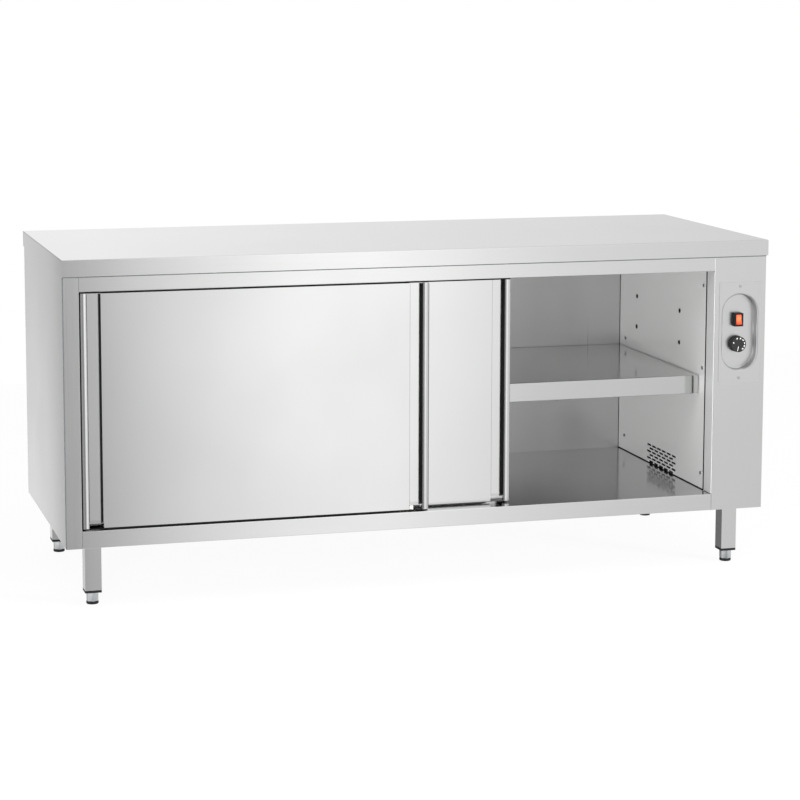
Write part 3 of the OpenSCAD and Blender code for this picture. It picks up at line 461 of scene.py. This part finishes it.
hexagon = shape(bpy.ops.mesh.primitive_cylinder_add, "hexagon", vertices=6,
                radius=15.588*MM, depth=22.7*MM, location=(0, 0, 18.35*MM))
pick(hexagon, "EDGE", lambda at, way: abs(way.z) > 0.9)
bpy.ops.mesh.bevel(offset=0.6*MM, segments=2)
pick(hexagon, "EDGE", lambda at, way: abs(way.z) < 0.1)
bpy.ops.mesh.bevel(offset=1.1*MM, segments=2)
leave()
thread = [(0, 28*MM)]
pitch = 1.75*MM
for turn in range(33):
    low = 29.7*MM + turn*pitch
    thread += [(5*MM, low), (5*MM, low + 0.3*pitch),
               (4.3*MM, low + 0.6*pitch), (4.3*MM, low + 0.75*pitch)]
thread += [(4.3*MM, 87.6*MM), (3.6*MM, 88*MM), (0, 88*MM)]
spindle = spun("spindle", thread, 24)
pad = spun("foot_pad", [
    (0, 0), (13*MM, 0), (14*MM, 0.3*MM), (14.6*MM, 1.2*MM), (15*MM, 2.2*MM), (15*MM, 5.2*MM),
    (14.7*MM, 6.3*MM), (14*MM, 6.9*MM), (13.2*MM, 7*MM), (12.8*MM, 6.6*MM), (0, 6.6*MM)])
turned_steel = galvanised("turned steel, nickel plated", "#c2c5c7", "#cccfd1", 0.3)
foot = joined("foot", [hexagon, spindle])
coated(foot, turned_steel)


def plastic(name, colour, rough, grain=0.6*MM, bump=0.12):
    # spark-eroded mould texture about 0.6 mm across
    made = bpy.data.materials.new(name)
    made.use_nodes = True
    tree = made.node_tree
    skin = tree.nodes["Principled BSDF"]
    skin.inputs["IOR"].default_value = 1.5
    place = add_node(tree, "ShaderNodeTexCoord")
    pits = add_node(tree, "ShaderNodeTexNoise", {
        0: place.outputs["Object"], "Scale": 1/grain, "Detail": 2.0})
    low = [c*0.85 for c in srgb(colour)[:3]] + [1]
    mix = add_node(tree, "ShaderNodeMix", {
        0: pits.outputs[0], 6: low, 7: srgb(colour)}, data_type="RGBA")
    tree.links.new(mix.outputs[2], skin.inputs["Base Color"])
    gloss = add_node(tree, "ShaderNodeMapRange", {
        0: pits.outputs[0], 3: rough - 0.07, 4: rough + 0.07})
    tree.links.new(gloss.outputs[0], skin.inputs["Roughness"])
    relief = add_node(tree, "ShaderNodeBump", {
        "Height": pits.outputs[0], "Strength": bump, "Distance": grain/3})
    tree.links.new(relief.outputs[0], skin.inputs["Normal"])
    return made


black_plastic = plastic("black moulded polyamide", "#0e0e0f", 0.6)
coated(pad, black_plastic)
for corner, (x, y) in foot_places.items():
    at = Matrix.Translation((x, y, 0))
    metal = copied(foot, "foot_spindle_" + corner, at)
    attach(metal, "foot_" + corner)
    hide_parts("foot_" + corner)
    rubber = copied(pad, "foot_pad_" + corner, at)
    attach(rubber, "foot_" + corner)
for piece in (foot, pad):
    bpy.data.objects.remove(piece)
finish(black_plastic, "leg_collars", "track_stops", "cable_gland")

# Running gear: nylon rollers with a steel axle, and a nylon floor guide. They
# are turned and moulded pieces that stay white inside the dark track.
white_nylon = plastic("white nylon", "#e4e2da", 0.45)
finish(white_nylon, "front_roller_left", "front_roller_right", "rear_roller_left",
       "rear_roller_right", "door_guide", "terminal_block")

# Doors: two shells of thin sheet round a wool core, brushed upright, with a
# hand channel folded into each end.
finish(steel_upright, "front_door_skin", "rear_door_skin", "front_door_pulls",
       "rear_door_pulls", "front_door_liner", "rear_door_liner")

# Hand channels: a safe edge on each end flange, a folded tray that closes the
# channel, and ribbed black strips on both its walls. The black strips are painted
# shade for the black stripes beside the pulls. The rubber is guessed from the
# black stripes beside the pulls.
strip_low, strip_high, strip_w, ribs = 210*MM, 761*MM, 16*MM, 7
strip_t, strip_inset = 0.8*MM, 1.1*MM
# black for the painted shade in the hand channels, round the doors and at the joints
painted_shade_black = plastic("black, painted shade", "#060607", 0.8, 0.8*MM, 0.2)


def painted_shade_strip(x, y, faces):
    """Black strip, painted shade, on a channel wall at x that faces -X or +X, the door's face at
    y.
    """
    strip = shape(bpy.ops.mesh.primitive_cube_add, "painted_shade_strip", size=1,
                  location=(x + faces*strip_t/2, y + strip_inset + strip_w/2,
                            (strip_low + strip_high)/2),
                  scale=(strip_t, strip_w, strip_high - strip_low))
    start = y + strip_inset
    for rib in range(1, ribs):
        bpy.ops.object.mode_set(mode="EDIT")
        bpy.ops.mesh.select_all(action="SELECT")
        bpy.ops.mesh.bisect(plane_co=(x, start + strip_w*rib/ribs, 0), plane_no=(0, 1, 0))
        leave()
    pick(strip, "FACE", lambda at, way: way.x*faces > 0.9
         and int((at.y - start)/(strip_w/ribs)) % 2 == 1)
    bpy.ops.mesh.inset(thickness=0.25*MM, depth=0.35*MM, use_individual=True)
    leave()
    return strip


def channel_back(left, y):
    """Folded tray that closes the hand channel 17 mm behind the door's face."""
    tray = shape(bpy.ops.mesh.primitive_cube_add, "channel_back", size=1,
                 location=(left + 31*MM, y + 25*MM, 485.7*MM), scale=(33.2*MM, 15*MM, 553*MM))
    pick(tray, "EDGE", lambda at, way: abs(way.z) > 0.9 and at.y < y + 22*MM)
    bpy.ops.mesh.bevel(offset=0.4*MM, segments=2)
    pick(tray, "FACE", lambda at, way: way.y > 0.9)
    bpy.ops.mesh.inset(thickness=1*MM)
    bpy.ops.mesh.extrude_region_move(TRANSFORM_OT_translate={"value": (0, -14*MM, 0)})
    leave()
    return tray


def hem(x, y):
    """Slightly crowned safe edge on a door's end flange, 13.7 mm wide, middle at x."""
    crown = shape(bpy.ops.mesh.primitive_cylinder_add, "hem", vertices=240, radius=47.2*MM,
                  depth=566*MM, location=(x, y + 46.75*MM, 479.5*MM))
    bpy.ops.object.mode_set(mode="EDIT")
    bpy.ops.mesh.select_all(action="SELECT")
    bpy.ops.mesh.bisect(plane_co=(0, y + 0.05*MM, 0), plane_no=(0, 1, 0), clear_outer=True,
                        use_fill=True)
    leave()
    return crown


door_w, channel_w, near_wall, far_wall = 857*MM, 62*MM, 14.2*MM, 47.8*MM
for door, left, face in (("front", -855*MM, -336*MM), ("rear", -630*MM, -296*MM)):
    right = left + door_w
    hems = joined(door + "_door_hems", [hem(left + 6.7*MM, face), hem(right - 6.7*MM, face)])
    coated(hems, steel_upright)
    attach(hems, door + "_door")
    backs = joined(door + "_channel_backs", [
        channel_back(left, face), channel_back(right - channel_w, face)])
    coated(backs, steel_upright, 10)
    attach(backs, door + "_door")
    strips = joined(door + "_painted_shade_strips", [
        painted_shade_strip(left + near_wall, face, 1), painted_shade_strip(left + far_wall, face, -1),
        painted_shade_strip(right - far_wall, face, 1), painted_shade_strip(right - near_wall, face, -1)])
    coated(strips, painted_shade_black)
    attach(strips, door + "_door")

# Dark lines round the doors, painted shade: black strips along the top and foot,
# left open in front of the hangers, and one on each end of the front door. Seals,
# guessed from the dark lines round the doors: black rubber lips along the top and
# foot, left open in front of the hangers, and a buffer on each end of the front
# door.
def bead(name, low, high, edge=0.4):
    """A rounded strip from corner to corner, in millimetres."""
    strip = shape(bpy.ops.mesh.primitive_cube_add, name, size=1,
                  location=[(a + b)/2*MM for a, b in zip(low, high)],
                  scale=[(b - a)*MM for a, b in zip(low, high)])
    pick(strip, "EDGE", lambda at, way: True)
    bpy.ops.mesh.bevel(offset=edge*MM, segments=3)
    leave()
    return strip


lips = [bead("lip", (x0, -335.6, 762.8), (x1, -331, 765.6), 0.8)
        for x0, x1 in ((-854.5, -790), (-768, -85), (-63, 1.5))]
shade_ends = [bead("shade_end", (x0, -334.5, 200), (x1, -305, 760), 0.7)
           for x0, x1 in ((-857, -854.9), (1.9, 4))]
lips.append(bead("lip", (-854.5, -335.6, 192.8), (1.5, -331, 196.2), 0.8))
front_shade_lines = joined("front_door_shade_lines", lips + shade_ends)
coated(front_shade_lines, painted_shade_black)
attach(front_shade_lines, "front_door")
rear_shade_line = bead("rear_door_shade_line", (-629, -297, 758.4), (226, -295.9, 762.6), 0.3)
coated(rear_shade_line, painted_shade_black)
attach(rear_shade_line, "rear_door")

# Dark lines at the joints, painted shade: black beads part the warm inner walls and
# deck from the frame, and grey beads run under the worktop and down the front
# corner. Joints, guessed from dark lines: black gaskets part the warm inner walls
# and deck from the frame, grey silicone closes the joint under the worktop and down
# the front corner, and a steel strip lines the post where the doors strike it.
wall_shade_beads = joined("wall_shade_lines", [
    bead("shade_bead", (755.6, -295, 193), (766, -291.5, 770), 1),
    bead("shade_bead", (-867, -295, 193), (-856.6, -291.5, 770), 1),
    bead("shade_bead", (756.8, 316.8, 193), (758.4, 318.4, 804), 0.5),
    bead("shade_bead", (754.7, -291, 189.5), (757.8, 317, 191.7), 0.6),
    bead("shade_bead", (757.2, -291, 191.5), (758.6, 317, 194.4), 0.5)])
coated(wall_shade_beads, painted_shade_black)
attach(wall_shade_beads, "cabinet")
joint_shade_beads = joined("joint_shade_lines", [
    bead("joint", (-898, -343.4, 801.8), (898, -341.8, 805), 0.5),
    bead("joint", (-899, -343, 151), (-896.8, -340.8, 803), 0.5)])
coated(joint_shade_beads, plastic("grey, painted shade in joints", "#525456", 0.6))
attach(joint_shade_beads, "cabinet")
strike = joined("strike_strip", [
    bead("strip", (757.4, -341, 193), (758.1, -295.2, 766), 0.2),
    bead("bend", (757.3, -342.7, 192.5), (758.7, -341.3, 803), 0.6)])
coated(strike, brushed_stainless(
    "stainless steel strike strip", "Z", colour="#cfd0cf", rough=0.4, bump=0.012, tone=0.02,
    metallic=0.3), 10)
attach(strike, "cabinet")

# Dark spots at the spare shelf-peg holes of each wall: black domes in the holes,
# with the crown towards the room, painted shade for the open holes. Hole plugs,
# guessed from the dark spots: black moulded buttons snapped into the spare
# shelf-peg holes of each wall, with the crown towards the room.
peg_hole_shade = spun("peg_hole_shade", [(r*MM, h*MM) for r, h in (
    (0, 2.2), (2.6, 2.1), (4.6, 1.7), (5.8, 0.9), (6.2, 0.1), (6, -0.1), (4.7, -0.1),
    (4.7, -2.6), (4.1, -3.1), (0, -3.1))], 24)
peg_hole_shades = []
for x, towards in ((wall_right, -math.pi/2), (wall_left, math.pi/2)):
    for y in (-114*MM, 190*MM):
        for z in (552.9*MM, 636.9*MM):
            peg_hole_shades.append(copied(peg_hole_shade, "peg_hole_shade", Matrix.Translation((x, y, z))
                                @ Matrix.Rotation(towards, 4, "Y")))
bpy.data.objects.remove(peg_hole_shade)
peg_hole_shades = joined("peg_hole_shade_domes", peg_hole_shades)
coated(peg_hole_shades, black_plastic)
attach(peg_hole_shades, "cabinet")

# Control plate: its own sheet with the pressed recess, satin finished, held by
# two slotted cheese-head screws above and below the recess.
finish(brushed_stainless("stainless steel satin pressing", "Z", rough=0.3, bump=0.02),
       "control_plate")
post_x, plate_y = 828*MM, -343*MM
slotted = shape(bpy.ops.mesh.primitive_cylinder_add, "slotted", vertices=32, radius=3.5*MM,
                depth=1.6*MM, location=(0, -0.8*MM, 0), rotation=(math.pi/2, 0, 0))
pick(slotted, "EDGE", lambda at, way: at.y < -1.5*MM)
bpy.ops.mesh.bevel(offset=0.5*MM, segments=3)
pick(slotted, "FACE", lambda at, way: way.y > 0.9)
bpy.ops.mesh.inset(thickness=1.55*MM)
bpy.ops.mesh.extrude_region_move(TRANSFORM_OT_translate={"value": (0, 8*MM, 0)})
leave()
slot = shape(bpy.ops.mesh.primitive_cube_add, "slot", size=1, location=(0, -1.6*MM, 0),
             scale=(1*MM, 1.8*MM, 9*MM))
cut(slotted, slot)
heads = [copied(slotted, "screw", Matrix.Translation((post_x, plate_y, z)))
         for z in (727*MM, 491*MM)]
bpy.data.objects.remove(slotted)
plate_screws = joined("plate_screw_heads", heads)
coated(plate_screws, turned_steel)
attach(plate_screws, "cabinet")
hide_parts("plate_screws")

# Thermostat knob: black thermoset, fluted round its rim for the grip, with the
# degrees and the pointer printed in white on its face.
knob_z, knob_back, knob_front = 577*MM, -322.3*MM, -340.3*MM
knob = shape(bpy.ops.mesh.primitive_cylinder_add, "knob", vertices=96, radius=21*MM,
             depth=18*MM, location=(post_x, (knob_back + knob_front)/2, knob_z),
             rotation=(math.pi/2, 0, 0))
pick(knob, "FACE", lambda at, way: way.y < -0.9)
bpy.ops.transform.resize(value=(0.965, 1, 0.965), center_override=(post_x, knob_front, knob_z))
pick(knob, "EDGE", lambda at, way: abs(at.y - knob_front) < 0.1*MM)
bpy.ops.mesh.bevel(offset=1.2*MM, segments=3)
pick(knob, "FACE", lambda at, way: abs(way.y) < 0.2
     and round(math.atan2(at.x - post_x, at.z - knob_z)/(2*math.pi)*96 - 0.5) % 4 == 0)
bpy.ops.mesh.inset(thickness=0.25*MM, depth=-0.8*MM, use_individual=True)
pick(knob, "FACE", lambda at, way: way.y < -0.9
     and (at - Vector((post_x, at.y, knob_z))).length < 1*MM)
bpy.ops.mesh.inset(thickness=9.5*MM)
bpy.ops.mesh.inset(thickness=0.5*MM, depth=-0.5*MM)
leave()
shaft = shape(bpy.ops.mesh.primitive_cylinder_add, "shaft", vertices=24, radius=3*MM,
              depth=26*MM, location=(post_x, -319*MM, knob_z), rotation=(math.pi/2, 0, 0))
pick(shaft, "EDGE", lambda at, way: abs(way.y) < 0.1)
bpy.ops.mesh.bevel(offset=0.4*MM, segments=2)
leave()
coated(shaft, turned_steel)
coated(knob, plastic("black thermoset, matt moulded", "#1d1d1e", 0.5, 0.5*MM))
knob = joined("knob_cap", [knob, shaft])
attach(knob, "thermostat_knob")
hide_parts("thermostat_knob")
print_white = plastic("white pad-printed ink", "#d4d4d0", 0.55, 0.3*MM, 0.05)


def on_dial(made, angle, radius):
    """Turns a flat mark so that its foot points to the middle, and puts it on the face."""
    made.data.transform(
        Matrix.Translation((post_x, knob_front - 0.02*MM, knob_z))
        @ Matrix.Rotation(math.radians(angle), 4, "Y")
        @ Matrix.Translation((0, 0, radius)) @ Matrix.Rotation(math.pi/2, 4, "X"))
    return made


marks = []
figures = ("40", -20), ("50", 15.6), ("60", 47), ("70", 79), ("80", 107.5), ("90", 137)
for figure, angle in figures:
    bpy.ops.object.select_all(action="DESELECT")
    bpy.ops.object.text_add(location=(0, 0, 0))
    text = bpy.context.object
    text.data.body = figure
    text.data.size = 4*MM
    text.data.align_x = "CENTER"
    text.data.align_y = "CENTER"
    text.data.extrude = 0.08*MM
    text.data.offset = 0.16*MM
    text.data.resolution_u = 3
    bpy.ops.object.convert(target="MESH")
    marks.append(on_dial(bpy.context.object, angle, 15.5*MM))
dot = shape(bpy.ops.mesh.primitive_cylinder_add, "dot", vertices=24, radius=1.5*MM, depth=0.16*MM)
marks.append(on_dial(dot, -73, 15*MM))
bar = shape(bpy.ops.mesh.primitive_cube_add, "bar", size=1, scale=(1.3*MM, 12*MM, 0.16*MM))
pick(bar, "EDGE", lambda at, way: abs(way.z) > 0.9)
bpy.ops.mesh.bevel(offset=0.5*MM, segments=3)
leave()
marks.append(on_dial(bar, 190, 11*MM))
dial = joined("knob_print", marks)
coated(dial, print_white)
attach(dial, "thermostat_knob")

# Switch: black moulded case snapped into the plate, with a frame round the
# window and four blade terminals behind.
switch_z, case_front = 640*MM, -339*MM
case = shape(bpy.ops.mesh.primitive_cube_add, "switch_case", size=1,
             location=(post_x, -330.5*MM, switch_z), scale=(24*MM, 17*MM, 34*MM))
pick(case, "EDGE", lambda at, way: at.y < -330*MM)
bpy.ops.mesh.bevel(offset=1*MM, segments=3)
pick(case, "FACE", lambda at, way: way.y > 0.9)
bpy.ops.mesh.inset(thickness=2*MM)
bpy.ops.mesh.extrude_region_move(TRANSFORM_OT_translate={"value": (0, 20*MM, 0)})
leave()
window = shape(bpy.ops.mesh.primitive_cube_add, "window", size=1,
               location=(post_x, -333*MM, switch_z), scale=(15*MM, 15*MM, 27*MM))
pick(window, "EDGE", lambda at, way: abs(way.y) > 0.9)
bpy.ops.mesh.bevel(offset=0.8*MM, segments=2)
leave()
cut(case, window)
pivot = shape(bpy.ops.mesh.primitive_cylinder_add, "pivot", vertices=24, radius=1.55*MM,
              depth=20.2*MM, location=(post_x, -333.5*MM, switch_z), rotation=(0, math.pi/2, 0))
cut(case, pivot)
coated(case, black_plastic)
blades = []
for x in (-5*MM, 5*MM):
    for z in (-9*MM, 9*MM):
        blade = shape(bpy.ops.mesh.primitive_cube_add, "blade", size=1,
                      location=(post_x + x, -298.5*MM, switch_z + z), scale=(0.8*MM, 9*MM, 6*MM))
        pick(blade, "EDGE", lambda at, way: at.y > -295*MM)
        bpy.ops.mesh.bevel(offset=0.3*MM, segments=1)
        leave()
        blades.append(blade)
blades = joined("blades", blades)
coated(blades, turned_steel)
case = joined("switch_case", [case, blades])
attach(case, "cabinet")
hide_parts("switch_housing")

# Switch rocker: clear red lens over a neon lamp, switched on, rocking on two
# stubs. Its two faces meet in a shallow valley at the pivot.
rocker = shape(bpy.ops.mesh.primitive_cylinder_add, "switch_lens", vertices=64, radius=13*MM,
               depth=14.4*MM, rotation=(0, math.pi/2, 0))
wedge = shape(bpy.ops.mesh.primitive_cube_add, "wedge", size=1,
              location=(0, -13*MM, 0), scale=(20*MM, 14*MM, 30*MM))
bpy.ops.object.mode_set(mode="EDIT")
bpy.ops.mesh.select_all(action="SELECT")
bpy.ops.mesh.bisect(plane_co=(0, 0, 0), plane_no=(0, 0, 1))
leave()
pick(wedge, "EDGE", lambda at, way: abs(way.x) > 0.9 and abs(at.z) < 0.1*MM and at.y > -7*MM)
bpy.ops.transform.translate(value=(0, 2.2*MM, 0))
leave()
cut(rocker, wedge)
bpy.ops.object.select_all(action="DESELECT")
rocker.select_set(True)
bpy.context.view_layer.objects.active = rocker
bpy.ops.object.mode_set(mode="EDIT")
bpy.ops.mesh.select_all(action="SELECT")
bpy.ops.mesh.bisect(plane_co=(0, 4*MM, 0), plane_no=(0, 1, 0), clear_outer=True, use_fill=True)
leave()
shaped_by(rocker, "BEVEL", width=0.5*MM, segments=2, limit_method="ANGLE",
          angle_limit=math.radians(40))
stubs = shape(bpy.ops.mesh.primitive_cylinder_add, "stubs", vertices=24, radius=1.5*MM,
              depth=19.4*MM, rotation=(0, math.pi/2, 0))
pick(stubs, "EDGE", lambda at, way: abs(way.x) < 0.1)
bpy.ops.mesh.bevel(offset=0.3*MM, segments=2)
leave()
rocker = joined("switch_lens", [rocker, stubs])
rocker.data.transform(Matrix.Translation((post_x, -333.5*MM, switch_z))
                      @ Matrix.Rotation(math.radians(-8), 4, "X"))
lens = bpy.data.materials.new("lit red polycarbonate")
lens.use_nodes = True
tree = lens.node_tree
glass = tree.nodes["Principled BSDF"]
glass.inputs["IOR"].default_value = 1.58
glass.inputs["Roughness"].default_value = 0.15
glass.inputs["Emission Strength"].default_value = 0.8
# the lamp sits behind the middle of the window, so the glow fades to its ends
place = add_node(tree, "ShaderNodeTexCoord")
near = add_node(tree, "ShaderNodeVectorMath", {
    0: place.outputs["Object"], 1: (post_x, -333*MM, switch_z + 3*MM)}, operation="DISTANCE")
fade = add_node(tree, "ShaderNodeValToRGB", {0: add_node(
    tree, "ShaderNodeMapRange", {0: near.outputs["Value"], 1: 4*MM, 2: 14*MM}).outputs[0]})
fade.color_ramp.elements[0].color = srgb("#ff9a68")
fade.color_ramp.elements[1].color = srgb("#b83a1c")
tree.links.new(fade.outputs[0], glass.inputs["Emission Color"])
body_red = add_node(tree, "ShaderNodeMix", {
    0: fade.outputs[1], 6: srgb("#d8401c"), 7: srgb("#c03414")}, data_type="RGBA")
tree.links.new(body_red.outputs[2], glass.inputs["Base Color"])
coated(rocker, lens)
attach(rocker, "switch_rocker")
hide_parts("switch_rocker")

# Thermostat body behind the plate, and the fan heater: a scroll of plated
# sheet, coloured near black here as painted shade behind the vent slots, a drum
# with curved blades, its motor and a finned heating tube.
finish(plastic("grey polyamide", "#777a7c", 0.5), "thermostat")
finish(bright_zinc, "fan_drum", "fan_motor")
finish(galvanised("heat-blued steel", "#5c5650", "#6b6560", 0.4), "heating_element")
finish(plastic("near black, painted shade behind the vent", "#101010", 0.45), "fan_housing")
